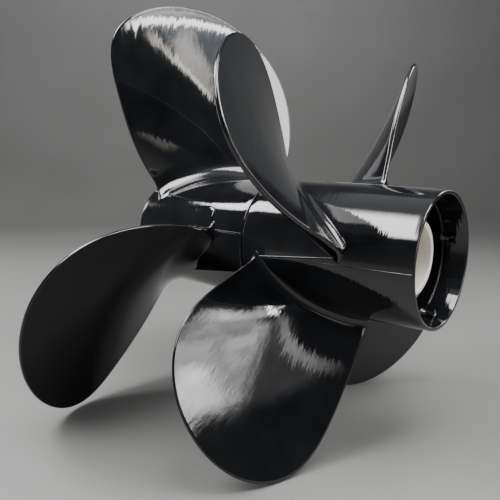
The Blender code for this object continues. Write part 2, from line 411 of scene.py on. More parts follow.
class BarrelTree(Tree):
    """A tree whose shapes lie on a hub barrel."""

    def __init__(self, name: str) -> None:
        """Make the tree with the inputs of a barrel's outside.

        Args:
            name: The tree's name.
        """
        super().__init__(name)
        self.datum = self.size("Barrel datum")
        self.length = self.size("Barrel length")
        self.aft_radius = self.size("Barrel aft radius")
        self.fore_radius = self.size("Barrel fore radius")
        self.crown = self.size("Barrel crown")

    def barrel(self, station: Field) -> Field:
        """Return the barrel's outer radius at a station."""
        share = (self.datum - station) / self.length
        return crowned(share, self.aft_radius, self.fore_radius, self.crown)


class BladeTree(BarrelTree):
    """A cast blade: a card with a round rim, laid along a helix and flared into the barrel.

    The card is a box whose X runs from the leading to the trailing edge, whose Y runs from the root
    to the tip, and whose Z runs through the blade from its forward to its aft face.

    Attributes:
        RIM_POWER: How tightly the rim's rounding keeps to the outline.
        END_POWER: How tightly the root's drawn-out ends keep to the ends of the chord.
        LEAST_SPAN: The span below which the outline's slope is held.
        LEAST_REACH: What keeps the outline's slope from being nothing in mid blade.
    """

    RIM_POWER = 8
    END_POWER = 4
    LEAST_SPAN = 0.001
    LEAST_REACH = 1e-6

    def __init__(self) -> None:
        """Write the rule."""
        super().__init__("Cast blade")
        self.hand = self.size("Hand")
        self.turn = self.size("Turn")
        self.tip = self.size("Tip radius")
        self.root = self.size("Root radius")
        self.roundness = self.size("Roundness")
        self.leading_rim, self.trailing_rim, self.rim_squareness = self.three("Rim")
        self.fillet = self.size("Fillet")
        self.nose = self.three("Nose")
        self.heel = self.three("Heel")
        share, up, side = self.card()
        growth, span, along = self.outline(share, up)
        self.lay(growth, span, along, side)

    def card(self) -> tuple[Field, Field, Field]:
        """Add the box.

        Returns:
            The place of its points across, up and through.
        """
        self.box = self.node("GeometryNodeMeshCube", "Mesh", {
            "Size": (1.0, 1.0, 1.0),
            "Vertices X": self.size("Points across", Socket.COUNT),
            "Vertices Y": self.size("Points up", Socket.COUNT),
            "Vertices Z": self.size("Points through", Socket.COUNT)})
        x, y, z = self.position()
        even = x + 0.5
        eased = (1 - self.math("COSINE", even * math.pi)) / 2
        return (even + eased) / 2, y + 0.5, z * 2

    def outline(self, share: Field, up: Field) -> tuple[Field, Field, Field]:
        """Bend the card into the blade's outline.

        Args:
            share: The place across the card, from 0 to 1.
            up: The place up the card, from 0 to 1.

        Returns:
            How far the root fillet stands out there, the span from root (0) to tip (1), and the place
            along the chord from -1 at the leading edge to +1 at the trailing edge.
        """
        root_share = self.size("Root rows share")
        shoulder = self.size("Shoulder")
        arc = self.math("MINIMUM", up / root_share, 1.0) * QUARTER_TURN
        growth = self.fillet * (1 - self.math("SINE", arc))
        rise = 1 - self.math("COSINE", arc)
        lift = self.math("MAXIMUM", (up - root_share) / (1 - root_share), 0.0)
        low = self.fillet / (self.tip - self.root)
        bend = self.math("ARCSINE", shoulder ** (self.roundness / 2))
        level = low + (shoulder - low) * lift
        inward = self.math("COSINE", bend)
        width = self.math("SQRT", 1 - level ** self.roundness) - lift * inward
        around = bend + (math.pi - 2 * bend) * share
        top = self.math("SINE", around) ** (2 / self.roundness)
        span = ((1 - lift) * low + lift * top) * rise
        along = (2 * share - 1) * width - lift * self.math("COSINE", around)
        return growth, span, along

    def drawn_out(self, sizes: tuple[Field, Field, Field], span: Field, end: Field) -> tuple[Field, Field]:
        """Find how far a root's end is drawn out along the helix, and how far it swings forward.

        Args:
            sizes: The most that it is drawn out and swings, and the span over which both fade.
            span: The place from root to tip.
            end: 1 at that end of the chord, falling to 0.

        Returns:
            Both distances.
        """
        length, swing, reach = sizes
        low = self.math("MAXIMUM", 1 - span / reach, 0.0)
        share = low * low * end
        return length * share, swing * share

    def lay(self, growth: Field, span: Field, along: Field, side: Field) -> None:
        """Give the card its thickness, lay it on the helix and end the tree.

        Args:
            growth: How far the root fillet stands out.
            span: The place from root to tip.
            along: The place along the chord.
            side: The place through the blade, from -1 to +1.
        """
        chord_0, chord_1, chord_2 = self.three("Chord")
        skew_1, skew_2, skew_3 = self.three("Skew")
        pitch = self.size("Pitch")
        pitch_rise = self.size("Pitch rise")
        station_0, rake, rake_curve = self.three("Rake")
        root_thickness = self.size("Root thickness")
        tip_thickness = self.size("Tip thickness")
        camber = self.size("Camber")
        nose_end, heel_end, heel_fade = self.three("Fillet ends")
        rim_inset = self.size("Rim inset")
        squareness = self.size("Squareness")
        aft_flare, fore_flare, shear = self.three("Heel flare")
        sink = self.size("Sink")
        height = self.tip - self.root
        nominal = self.root + height * span
        chord = chord_0 + span * (chord_1 + span * chord_2)
        middle = span * (skew_1 + span * (skew_2 + span * skew_3))
        slope = self.math("ARCTAN2", pitch * (1 + pitch_rise * (span - 0.5)), math.tau * nominal)
        outer = span ** self.roundness
        border = self.math("MINIMUM", along * along + outer, 1.0)
        fullness = 1 - border
        at_rim = border ** self.RIM_POWER
        trailing = self.math("MAXIMUM", along, 0.0)
        leading = self.math("MAXIMUM", -1 * along, 0.0)
        half_rim = (self.leading_rim + (self.trailing_rim - self.leading_rim) * trailing) / 2
        fullest = tip_thickness + (root_thickness - tip_thickness) * (1 - span)
        thickness = half_rim * 2 + (fullest - half_rim * 2) * fullness
        hollow = camber * fullness
        behind = trailing ** self.END_POWER
        ahead = leading ** self.END_POWER
        rooted = growth / self.fillet
        flared = trailing ** heel_fade
        aft_side = half_rim - hollow + growth * (1 + (aft_flare - 1) * flared)
        fore_side = half_rim - hollow - thickness - growth * (1 + (fore_flare - 1) * flared)
        quarter = side * QUARTER_TURN
        across = (aft_side + fore_side) / 2 + (aft_side - fore_side) / 2 * self.math("SINE", quarter)
        edge_squareness = self.math("MAXIMUM", squareness * rooted, self.rim_squareness * trailing)
        bulge = self.math("MAXIMUM", self.math("COSINE", quarter), 0.0) ** (1 - edge_squareness)
        chord_change = chord_1 + 2 * chord_2 * span
        middle_change = skew_1 + span * (2 * skew_2 + 3 * skew_3 * span)
        along_change = (along * chord_change + 2 * middle_change) / chord
        out_helix = 4 * along / chord
        steepness = self.roundness * outer / self.math("MAXIMUM", span, self.LEAST_SPAN)
        out_span = (steepness - 2 * along * along_change) / height
        reach = self.math("SQRT", out_helix * out_helix + out_span * out_span + self.LEAST_REACH)
        shift = (half_rim * (bulge - 1) - rim_inset) * at_rim / reach
        flare = growth * (heel_end * trailing - nose_end * leading) * bulge * at_rim
        sine = self.math("SINE", slope)
        cosine = self.math("COSINE", slope)
        toe, toe_swing = self.drawn_out(self.nose, span, ahead)
        heel, heel_swing = self.drawn_out(self.heel, span, behind)
        helix = middle + along * chord / 2 + out_helix * shift + flare + heel - toe
        helix = helix - shear * across * rooted * behind * cosine / sine
        across = across - toe_swing - heel_swing
        station = station_0 + span * (rake + span * rake_curve) + helix * sine + across * cosine
        turn = self.turn + self.hand * (helix * cosine - across * sine) / nominal
        surface = self.barrel(station) - sink
        radius = surface + (self.tip - surface) * span + out_span * shift
        self.close(self.put(self.box, self.about_shaft(station, radius, turn), self.origin))


class CastingLineTree(BarrelTree):
    """Raised lines that the mould left along a barrel, one copy for each blade.

    Attributes:
        BEAD_SIDES: How many flats make the bead round.
    """

    BEAD_SIDES = 12

    def __init__(self) -> None:
        """Write the rule."""
        super().__init__("Casting lines")
        start = self.size("Start station")
        end = self.size("End station")
        start_turn = self.size("Start turn")
        end_turn = self.size("End turn")
        bow = self.size("Bow")
        bead = self.size("Bead radius")
        sink = self.size("Sink")
        line = self.node("GeometryNodeCurvePrimitiveLine", "Curve", {"End": (1.0, 0.0, 0.0)})
        line = self.node("GeometryNodeResampleCurve", "Curve",
                         {"Curve": line, "Count": self.size("Points along", Socket.COUNT)})
        share = self.node("GeometryNodeSplineParameter", "Factor", {})
        station = start + (end - start) * share
        turn = start_turn + (end_turn - start_turn) * share + 4 * bow * share * (1 - share)
        laid = self.put(line, self.about_shaft(station, self.barrel(station) - sink, turn))
        section = self.node("GeometryNodeCurvePrimitiveCircle", "Curve",
                            {"Resolution": self.BEAD_SIDES, "Radius": bead})
        rod = self.node("GeometryNodeCurveToMesh", "Mesh",
                        {"Curve": laid, "Profile Curve": section, "Fill Caps": True})
        self.close(self.round_the_shaft(rod))


class RootPadTree(BarrelTree):
    """A raised pad under each blade's trailing root: a flattened ball, bent round the barrel.

    Attributes:
        FLATNESS: The power that flattens the ball's top, where 1 leaves it round.
        LEAST_WIDTH: What keeps the poles from being divided by nothing.
        LEAST_SQUARE: The same where the outline is squared.
    """

    FLATNESS = 0.35
    LEAST_WIDTH = 1e-9
    LEAST_SQUARE = 0.1

    def __init__(self) -> None:
        """Write the rule."""
        super().__init__("Root pads")
        middle_station = self.size("Middle station")
        half_length = self.size("Half length")
        middle_turn = self.size("Middle turn")
        half_turn = self.size("Half turn")
        height = self.size("Height")
        corner = self.size("Corner")
        ball = self.node("GeometryNodeMeshUVSphere", "Mesh", {
            "Segments": self.size("Points round", Socket.COUNT),
            "Rings": self.size("Points over", Socket.COUNT), "Radius": 1.0})
        x, y, z = self.position()
        width = self.math("SQRT", x * x + y * y + self.LEAST_WIDTH)
        square = self.math("ABSOLUTE", x / width) ** corner + self.math("ABSOLUTE", y / width) ** corner
        spread = self.math("MAXIMUM", square, self.LEAST_SQUARE) ** (-1 / corner)
        across = x * spread
        station = middle_station + half_length * across
        turn = middle_turn + half_turn * y * spread
        level = self.math("SIGN", z) * self.math("ABSOLUTE", z) ** self.FLATNESS
        radius = self.barrel(station) + height * (level * (1 + across) / 2 - (1 - across) / 4)
        laid = self.put(ball, self.about_shaft(station, radius, turn))
        self.close(self.round_the_shaft(laid))


class RoundTree(Tree):
    """Copies of one modelled shape, evenly spaced about the shaft line."""

    def __init__(self) -> None:
        """Write the rule."""
        super().__init__("Round the shaft")
        self.close(self.round_the_shaft(Field(self, self.entry.outputs["Shape"])))


@dataclass(frozen=True)
class Corner:
    """A corner of a turned profile.

    Attributes:
        radius: Its distance from the shaft line.
        station: Its place along the line.
        rounding: The radius that the corner is rounded with.
    """

    radius: float
    station: float
    rounding: float = 0.0


def rounded(corners: Sequence[Corner], steps: int = 5) -> list[Pair]:
    """Work out a closed profile with an arc in place of each rounded corner.

    Args:
        corners: The profile's corners in order.
        steps: How many short edges make an arc.

    Returns:
        The (radius, station) points.
    """
    points = []
    for i, corner in enumerate(corners):
        here = Vector((corner.radius, corner.station))
        if corner.rounding == 0:
            points.append(tuple(here))
            continue
        before = corners[i - 1]
        after = corners[(i + 1) % len(corners)]
        back = (Vector((before.radius, before.station)) - here).normalized()
        ahead = (Vector((after.radius, after.station)) - here).normalized()
        half = back.angle(ahead) / 2
        middle = here + (back + ahead).normalized() * corner.rounding / math.sin(half)
        reach = corner.rounding / math.tan(half)
        first = (here + back * reach - middle).normalized()
        last = (here + ahead * reach - middle).normalized()
        for step in range(steps + 1):
            points.append(tuple(middle + first.slerp(last, step / steps) * corner.rounding))
    return points


def ring(radii: Pair, ends: Pair, roundings: Pair) -> list[Corner]:
    """List the corners of a plain tube.

    Args:
        radii: Its outer and inner radius.
        ends: Its aft and forward stations.
        roundings: The rounding of its aft and its forward edges.

    Returns:
        The corners.
    """
    outer, bore = radii
    aft, fore = ends
    aft_rounding, fore_rounding = roundings
    return [Corner(outer, aft, aft_rounding), Corner(outer, fore, fore_rounding),
            Corner(bore, fore, fore_rounding), Corner(bore, aft, aft_rounding)]


def turned(name: str, shaft: ShaftLine, corners: Sequence[Corner], sides: int) -> bpy.types.Mesh:
    """Turn a closed profile about the shaft line.

    Args:
        name: The mesh's name.
        shaft: The shaft line.
        corners: The profile's corners in order.
        sides: How many flats make the round.

    Returns:
        The mesh, in place.
    """
    profile = rounded(corners)
    count = len(profile)
    places = []
    faces = []
    for step in range(sides):
        turn = math.tau * step / sides
        for radius, station in profile:
            places.append(shaft.start + Vector((station, -radius * math.sin(turn), radius * math.cos(turn))))
        near = step * count
        far = (step + 1) % sides * count
        faces += [(near + i, near + (i + 1) % count, far + (i + 1) % count, far + i) for i in range(count)]
    mesh = bpy.data.meshes.new(name)
    mesh.from_pydata(places, [], faces)
    face_outwards(mesh)
    mesh.shade_smooth()
    mesh.set_sharp_from_angle(angle=SHARP_ANGLE)
    return mesh


def taken(shape: bmesh.types.BMesh, name: str) -> bpy.types.Mesh:
    """Keep a modelled shape as a mesh.

    Args:
        shape: The shape, which is freed.
        name: The mesh's name.

    Returns:
        The mesh.
    """
    mesh = bpy.data.meshes.new(name)
    shape.to_mesh(mesh)
    shape.free()
    return mesh


def linked(mesh: bpy.types.Mesh, finish: bpy.types.Material) -> bpy.types.Object:
    """Put a finished mesh in the scene under its own name.

    Args:
        mesh: The mesh, in place.
        finish: Its material.

    Returns:
        The piece.
    """
    piece = bpy.data.objects.new(mesh.name, mesh)
    bpy.context.scene.collection.objects.link(piece)
    mesh.materials.append(finish)
    return piece


def inputs_of(plan: object) -> dict[str, object]:
    """Return a dataclass's values under the names of a tree's inputs, which are those of its fields."""
    return {item.name.replace("_", " ").capitalize(): getattr(plan, item.name) for item in fields(plan)}


@dataclass(frozen=True)
class Pattern:
    """A cloudy pattern.

    Attributes:
        waves: How many waves it has to a metre along X, Y and Z.
        detail: How many finer octaves it has.
        spin: How it is turned about X, Y and Z.
    """

    waves: Triple
    detail: float = 2.0
    spin: Triple = (0.0, 0.0, 0.0)

    @classmethod
    def even(cls, waves: float, detail: float = 2.0) -> "Pattern":
        """Return a pattern that is alike in every direction."""
        return cls((waves, waves, waves), detail)


Relief = tuple[Pattern, float]


class Shader:
    """A Principled material that is put together node by node."""

    IOR = 1.6

    def __init__(self, name: str, roughness: float, metallic: float = 0.0) -> None:
        """Start the material and set its plain values.

        Args:
            name: The material's name.
            roughness: How dull it is.
            metallic: 1 for bare metal.
        """
        self.material = bpy.data.materials.new(name)
        self.material.use_nodes = True
        self.tree = self.material.node_tree
        self.surface = self.tree.nodes["Principled BSDF"]
        self.surface.inputs["Roughness"].default_value = roughness
        self.surface.inputs["Metallic"].default_value = metallic
        self.surface.inputs["IOR"].default_value = self.IOR
        self.coordinates = self.tree.nodes.new("ShaderNodeTexCoord").outputs["Object"]
        self.normal = None

    def noise(self, pattern: Pattern) -> bpy.types.NodeSocket:
        """Add a cloudy pattern.

        Args:
            pattern: Its waves, detail and turn.

        Returns:
            The pattern's output, from 0 to 1.
        """
        place = wired(self.tree, "ShaderNodeMapping", "Vector", {
            "Vector": self.coordinates, "Scale": pattern.waves, "Rotation": pattern.spin})
        return wired(self.tree, "ShaderNodeTexNoise", "Fac", {
            "Vector": place, "Scale": 1.0, "Detail": pattern.detail})

    def colour(self, pattern: Pattern, ends: Pair, first: Triple, last: Triple) -> None:
        """Let the base colour follow a pattern.

        Args:
            pattern: The pattern.
            ends: Its values at which the colour stops changing.
            first: The colour at the lower one.
            last: The colour at the upper one.
        """
        ramp = self.tree.nodes.new("ShaderNodeValToRGB")
        for element, place, colour in zip(ramp.color_ramp.elements, ends, (first, last)):
            element.position = place
            element.color = (*colour, 1.0)
        self.tree.links.new(self.noise(pattern), ramp.inputs["Fac"])
        self.tree.links.new(ramp.outputs["Color"], self.surface.inputs["Base Color"])

    def dullness(self, pattern: Pattern, least: float, most: float) -> None:
        """Let the roughness follow a pattern.

        Args:
            pattern: The pattern.
            least: The roughness where it is 0.
            most: The roughness where it is 1.
        """
        spread = wired(self.tree, "ShaderNodeMapRange", "Result", {
            "Value": self.noise(pattern), "To Min": least, "To Max": most})
        self.tree.links.new(spread, self.surface.inputs["Roughness"])

    def bump(self, pattern: Pattern, height: float) -> None:
        """Add a relief on top of those before.

        Args:
            pattern: Its pattern.
            height: Its height in metres.
        """
        inputs = {"Height": self.noise(pattern), "Distance": height}
        if self.normal is not None:
            inputs["Normal"] = self.normal
        self.normal = wired(self.tree, "ShaderNodeBump", "Normal", inputs)
        self.tree.links.new(self.normal, self.surface.inputs["Normal"])


@dataclass(frozen=True)
class Finish:
    """What every finish has.

    Attributes:
        name: The material's name.
        dark: The darkest colour.
        light: The lightest colour.
        roughness: How dull it is on the whole.
        clouds: The pattern that its colour follows.
        cloud_ends: The pattern's values at which the colour stops changing.
        reliefs: The pattern and the height of each relief, in the order they are laid on.
        haze: The pattern that its dullness follows, where it varies.
        haze_ends: The least and the most dullness, as a share of the roughness.
        metallic: 1 for bare metal.
    """

    name: str
    dark: Triple
    light: Triple
    roughness: float
    clouds: Pattern
    cloud_ends: Pair
    reliefs: tuple[Relief, ...]
    haze: Pattern | None = None
    haze_ends: Pair = (1.0, 1.0)
    metallic: float = 0.0

    def material(self) -> bpy.types.Material:
        """Mix the finish.

        Returns:
            The material.
        """
        shader = Shader(self.name, self.roughness, self.metallic)
        shader.colour(self.clouds, self.cloud_ends, self.dark, self.light)
        if self.haze is not None:
            shader.dullness(self.haze, *(self.roughness * share for share in self.haze_ends))
        for pattern, height in self.reliefs:
            shader.bump(pattern, height)
        return shader.material


@dataclass(frozen=True)
class GlossPaint(Finish):
    """Gloss-black paint over a cast surface that was ground round the shaft line before spraying.

    Its reliefs are the casting's slow waves, the fine grinding marks that show through and the
    sprayed skin's peel.
    """

    name: str = "gloss_black_paint"
    dark: Triple = (0.0035, 0.0039, 0.0048)
    light: Triple = (0.0065, 0.0070, 0.0085)
    roughness: float = 0.06
    clouds: Pattern = Pattern.even(45.0, detail=3.0)
    cloud_ends: Pair = (0.35, 0.65)
    haze: Pattern = Pattern.even(90.0, detail=4.0)
    haze_ends: Pair = (0.7, 1.3)
    reliefs: tuple[Relief, ...] = (
        (Pattern((30.0, 22.0, 22.0), spin=(0.2, 0.1, 0.4)), 0.00020),
        (Pattern((480.0, 70.0, 60.0), spin=(0.0, 0.12, 0.10)), 0.000060),
        (Pattern.even(420.0, detail=1.0), 0.000010),
    )


@dataclass(frozen=True)
class MouldedPlastic(Finish):
    """Plain cream plastic with a soft sheen, a fine grain and a little dirt."""

    name: str = "cream_plastic"
    dark: Triple = (0.84, 0.81, 0.68)
    light: Triple = (0.90, 0.88, 0.77)
    roughness: float = 0.45
    clouds: Pattern = Pattern.even(60.0, detail=3.0)
    cloud_ends: Pair = (0.30, 0.60)
    reliefs: tuple[Relief, ...] = ((Pattern.even(900.0), 0.00002),)


@dataclass(frozen=True)
class MouldedRubber(Finish):
    """Dull black rubber of the bushes, with a fine grain."""

    name: str = "black_rubber"
    dark: Triple = (0.012, 0.012, 0.012)
    light: Triple = (0.030, 0.029, 0.028)
    roughness: float = 0.75
    clouds: Pattern = Pattern.even(160.0, detail=4.0)
    cloud_ends: Pair = (0.35, 0.7)
    reliefs: tuple[Relief, ...] = ((Pattern.even(700.0, detail=3.0), 0.00006),)


DRAWN_MARKS = Pattern((60.0, 900.0, 900.0), detail=3.0)


@dataclass(frozen=True)
class MachinedBrass(Finish):
    """Brass with drawn tool marks along the splines."""

    name: str = "machined_brass"
    dark: Triple = (0.42, 0.29, 0.12)
    light: Triple = (0.70, 0.53, 0.26)
    roughness: float = 0.32
    clouds: Pattern = DRAWN_MARKS
    cloud_ends: Pair = (0.3, 0.7)
    haze: Pattern = DRAWN_MARKS
    haze_ends: Pair = (0.8, 1.4)
    reliefs: tuple[Relief, ...] = ((DRAWN_MARKS, 0.00002),)
    metallic: float = 1.0


FINISHES = {Slot.PAINT: GlossPaint(), Slot.PLASTIC: MouldedPlastic(), Slot.RUBBER: MouldedRubber(),
            Slot.BRASS: MachinedBrass()}


@dataclass(frozen=True)
class Seat:
    """What a finished piece is called and where it belongs.

    Attributes:
        name: The piece's name.
        body: The propeller that it turns with.
        slot: The record's material slot.
        nodes: The CAD nodes that it stands for.
    """

    name: str
    body: Body
    slot: Slot
    nodes: tuple[str, ...] = ()


@dataclass(frozen=True)
class Bench:
    """What every piece is made with.

    Attributes:
        shaft: The shaft line.
        finishes: The material for each slot.
        blade_rule: The blades' rule.
        copy_rule: The rule that copies a modelled shape round the shaft.
        line_rule: The casting lines' rule.
        pad_rule: The root pads' rule.
    """

    shaft: ShaftLine
    finishes: dict[Slot, bpy.types.Material]
    blade_rule: BladeTree
    copy_rule: RoundTree
    line_rule: CastingLineTree
    pad_rule: RootPadTree

    @classmethod
    def ready(cls) -> "Bench":
        """Return the bench with its finishes mixed and its rules written."""
        return cls(ShaftLine.from_frame(), {slot: finish.material() for slot, finish in FINISHES.items()},
                   BladeTree(), RoundTree(), CastingLineTree(), RootPadTree())

    def dress(self, piece: bpy.types.Object, seat: Seat) -> None:
        """Seat a finished piece on its body and report it.

        Args:
            piece: The finished piece.
            seat: Where it belongs.
        """
        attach(piece, seat.body.value)
        if seat.nodes:
            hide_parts(*seat.nodes)
        LOG.info("%s: %d faces on %s", piece.name, len(piece.data.polygons), seat.body.value)

    def turn(self, seat: Seat, corners: Sequence[Corner], sides: int) -> None:
        """Turn a profile into a piece and seat it."""
        mesh = turned(seat.name, self.shaft, corners, sides)
        self.dress(linked(mesh, self.finishes[seat.slot]), seat)

    def grow(self, seat: Seat, rule: Tree, sizes: dict[str, object],
             seed: bpy.types.Mesh | None = None) -> None:
        """Make a piece by a rule, from the seed where the rule needs one, and seat it."""
        self.dress(rule.grow(seat.name, self.shaft, self.finishes[seat.slot], sizes, seed), seat)


@dataclass(frozen=True)
class BladeSet:
    """One propeller's like blades.

    Attributes:
        prefix: The start of their CAD nodes' names.
        body: The propeller that they turn with.
        hand: Which way they wind.
        count: How many there are.
        first_turn: The turn of the first blade.
        tip_radius: The circle that their tips reach.
        pitch: How far the helix advances in a turn.
        pitch_rise: How much the pitch grows from root to tip.
        rake: The station of the root, and how it moves with the span and its square.
        chord: The chord's length, and how it changes with the span and its square.
        skew: How the chord's middle moves with the span, its square and its cube.
        roundness: How square the tip is.
        shoulder: The span where the tip's arc begins.
        root_thickness: The thickness at the root.
        tip_thickness: The thickness near the tip.
        camber: How hollow the aft face is.
        fillet: The radius of the root fillet.
        nose: How far the root's leading end is drawn out, how far it swings forward, and up to which span.
        heel: The same for its trailing end.
        heel_flare: How much wider the fillet is there on the aft and the forward side, and how much of
            the end's slant is taken out.
        fillet_ends: How far the fillet runs past the leading and the trailing end, as a share of its
            radius, and how fast the flare fades from the trailing end.
        rim: The thickness of the leading and the trailing rim, and how square the trailing one is.
        squareness: How square the ends of the root are.
        root_radius: The nominal radius of the roots.
        rim_inset: How far the outline is drawn in.
        sink: How deep the root's foot lies under the barrel's surface.
        points_across: How many points a blade has from its leading to its trailing edge.
        points_up: How many it has from root to tip.
        points_through: How many it has through its thickness.
        root_rows_share: The share of the points up that make the fillet.
    """

    prefix: str
    body: Body
    hand: Hand
    count: int
    first_turn: float
    tip_radius: float
    pitch: float
    pitch_rise: float
    rake: Triple
    chord: Triple
    skew: Triple
    roundness: float
    shoulder: float
    root_thickness: float
    tip_thickness: float
    camber: float
    fillet: float
    nose: Triple
    heel: Triple
    heel_flare: Triple
    fillet_ends: Triple
    rim: Triple
    squareness: float = 0.65
    root_radius: float = 0.0497
    rim_inset: float = 0.0003
    sink: float = 0.00012
    points_across: int = 110
    points_up: int = 96
    points_through: int = 13
    root_rows_share: float = 0.12

    def build(self, bench: Bench, barrel: BarrelLine) -> None:
        """Make and seat every blade.

        Args:
            bench: What the blades are made with.
            barrel: The outside of the barrel that they stand on.
        """
        sizes = {**inputs_of(self), "Hand": self.hand.value, **barrel.sizes()}
        for i in range(self.count):
            node = f"{self.prefix}_blade_{i + 1}"
            turn = self.first_turn + i * math.tau / self.count
            seat = Seat(f"{node}_cast", self.body, Slot.PAINT, (node,))
            bench.grow(seat, bench.blade_rule, {**sizes, "Turn": turn})

    def mark(self, bench: Bench, barrel: BarrelLine, name: str, rule: Tree, plan: object) -> None:
        """Make and seat what the casting has once for each blade, in the sizes of the plan."""
        sizes = {**inputs_of(plan), "Count": self.count, "First turn": self.first_turn, **barrel.sizes()}
        bench.grow(Seat(f"{self.prefix}_{name}", self.body, Slot.PAINT), rule, sizes)


@dataclass(frozen=True)
class HubCore:
    """The inner hub of one propeller with its ribs, rubber bush and splined sleeve.

    Attributes:
        prefix: The start of the CAD nodes' names.
        body: The propeller that it turns with.
        hub_bore: The radius of the inner hub's bore.
        sleeve_bore: The radius across the sleeve's tooth tips.
        tooth_count: How many teeth there are.
        rib_count: How many ribs hold the hub in the barrel.
        rib_turn: The turn of the first rib.
        barrel_bore: The barrel's bore, which the ribs reach.
        tooth_depth: The depth of the splines.
        tooth_share: The share of a tooth and its gap that the tooth takes.
        tooth_easing: How far a tooth's edges are eased, as a share of its depth.
        rib_thickness: The ribs' thickness.
        rib_easing: How far their edges are eased, as a share of it.
        easing_steps: How many flats make an eased edge.
        sides: How many flats make the round.
        edge: The rounding of the tubes' edges.
        overlap: How far the ribs and teeth reach into what carries them.
    """

    prefix: str
    body: Body
    hub_bore: float
    sleeve_bore: float
    tooth_count: int
    rib_count: int
    rib_turn: float
    barrel_bore: float
    tooth_depth: float = 0.0014
    tooth_share: float = 0.425
    tooth_easing: float = 1 / 6
    rib_thickness: float = 0.0060
    rib_easing: float = 1 / 4
    easing_steps: int = 3
    sides: int = 160
    edge: float = 0.0006
    overlap: float = 0.0003

    def tube(self, bench: Bench, node: str, bore: float, slot: Slot) -> None:
        """Make and seat a tube with eased edges in place of a round CAD node."""
        corners = ring((bench.shaft.radius(node), bore), bench.shaft.stations(node), (self.edge, self.edge))
        bench.turn(Seat(f"{node}_turned", self.body, slot, (node,)), corners, self.sides)

    def block(self, name: str, ends: Pair, width: float, heights: Pair, easing: float) -> bpy.types.Mesh:
        """Model a block with eased edges, as it stands straight above the shaft line.

        Args:
            name: Its mesh's name.
            ends: Its aft and forward stations.
            width: How wide it is.
            heights: Its lower and upper distance from the shaft line.
            easing: How far its edges are eased.

        Returns:
            The block's mesh.
        """
        aft, fore = ends
        low, high = heights
        size = Vector((aft - fore, width, high - low))
        middle = Vector(((aft + fore) / 2, 0.0, (high + low) / 2))
        shape = bmesh.new()
        bmesh.ops.create_cube(shape, size=1.0)
        bmesh.ops.scale(shape, vec=size, verts=shape.verts)
        bmesh.ops.translate(shape, vec=middle, verts=shape.verts)
        bmesh.ops.bevel(shape, geom=shape.edges, offset=easing, segments=self.easing_steps, profile=0.5,
                        affect="EDGES")
        return taken(shape, name)

    def ribs(self, bench: Bench) -> None:
        """Make and seat the ribs between the inner hub and the barrel.

        Args:
            bench: What they are made with.
        """
        nodes = tuple(f"{self.prefix}_rib_{i + 1}" for i in range(self.rib_count))
        low = bench.shaft.radius(f"{self.prefix}_inner_hub") - self.overlap
        block = self.block("rib", bench.shaft.stations(nodes[0]), self.rib_thickness,
                           (low, self.barrel_bore + self.overlap), self.rib_thickness * self.rib_easing)
        bench.grow(Seat(f"{self.prefix}_ribs_cast", self.body, Slot.PAINT, nodes), bench.copy_rule,
                   {"Count": self.rib_count, "First turn": self.rib_turn}, block)

    def splines(self, bench: Bench) -> None:
        """Make and seat the splined sleeve: a tube and the teeth in its bore.

        Args:
            bench: What they are made with.
        """
        node = f"{self.prefix}_splined_sleeve"
        root = self.sleeve_bore + self.tooth_depth
        self.tube(bench, node, root, Slot.BRASS)
        aft, fore = bench.shaft.stations(node)
        width = math.tau * self.sleeve_bore / self.tooth_count * self.tooth_share
        block = self.block("tooth", (aft - self.edge, fore + self.edge), width,
                           (self.sleeve_bore, root + self.overlap), self.tooth_depth * self.tooth_easing)
        bench.grow(Seat(f"{self.prefix}_spline_teeth", self.body, Slot.BRASS, (node,)), bench.copy_rule,
                   {"Count": self.tooth_count, "First turn": 0.0}, block)

    def build(self, bench: Bench) -> None:
        """Make and seat the core's pieces.

        Args:
            bench: What they are made with.
        """
        sleeve_radius = bench.shaft.radius(f"{self.prefix}_splined_sleeve")
        self.tube(bench, f"{self.prefix}_inner_hub", self.hub_bore, Slot.PAINT)
        self.tube(bench, f"{self.prefix}_rubber_bush", sleeve_radius, Slot.RUBBER)
        self.ribs(bench)
        self.splines(bench)


@dataclass(frozen=True)
class FrontBarrel:
    """The plain barrel of the front hub.

    Attributes:
        line: The barrel's outside.
        bore: The radius of its bore.
        rounding: The rounding of its rims.
        sides: How many flats make the round.
        crown_steps: How many short lengths make the crown.
    """

    line: BarrelLine
    bore: float = 0.0418
    rounding: float = 0.0008
    sides: int = 288
    crown_steps: int = 24

    def outside(self) -> list[Corner]:
        """List the outer corners from the aft to the forward end.

        Returns:
            The corners.
        """
        line = self.line
        corners = [Corner(line.radius(line.aft), line.aft, self.rounding)]
        for step in range(1, self.crown_steps):
            station = line.aft + (line.fore - line.aft) * step / self.crown_steps
            corners.append(Corner(line.radius(station), station))
        corners.append(Corner(line.radius(line.fore), line.fore, self.rounding))
        return corners

    def build(self, bench: Bench) -> None:
        """Make and seat the barrel.

        Args:
            bench: What it is made with.
        """
        inside = [Corner(self.bore, end, self.rounding) for end in (self.line.fore, self.line.aft)]
        seat = Seat("front_hub_barrel_cast", Body.FRONT, Slot.PAINT, ("front_hub_barrel",))
        bench.turn(seat, self.outside() + inside, self.sides)


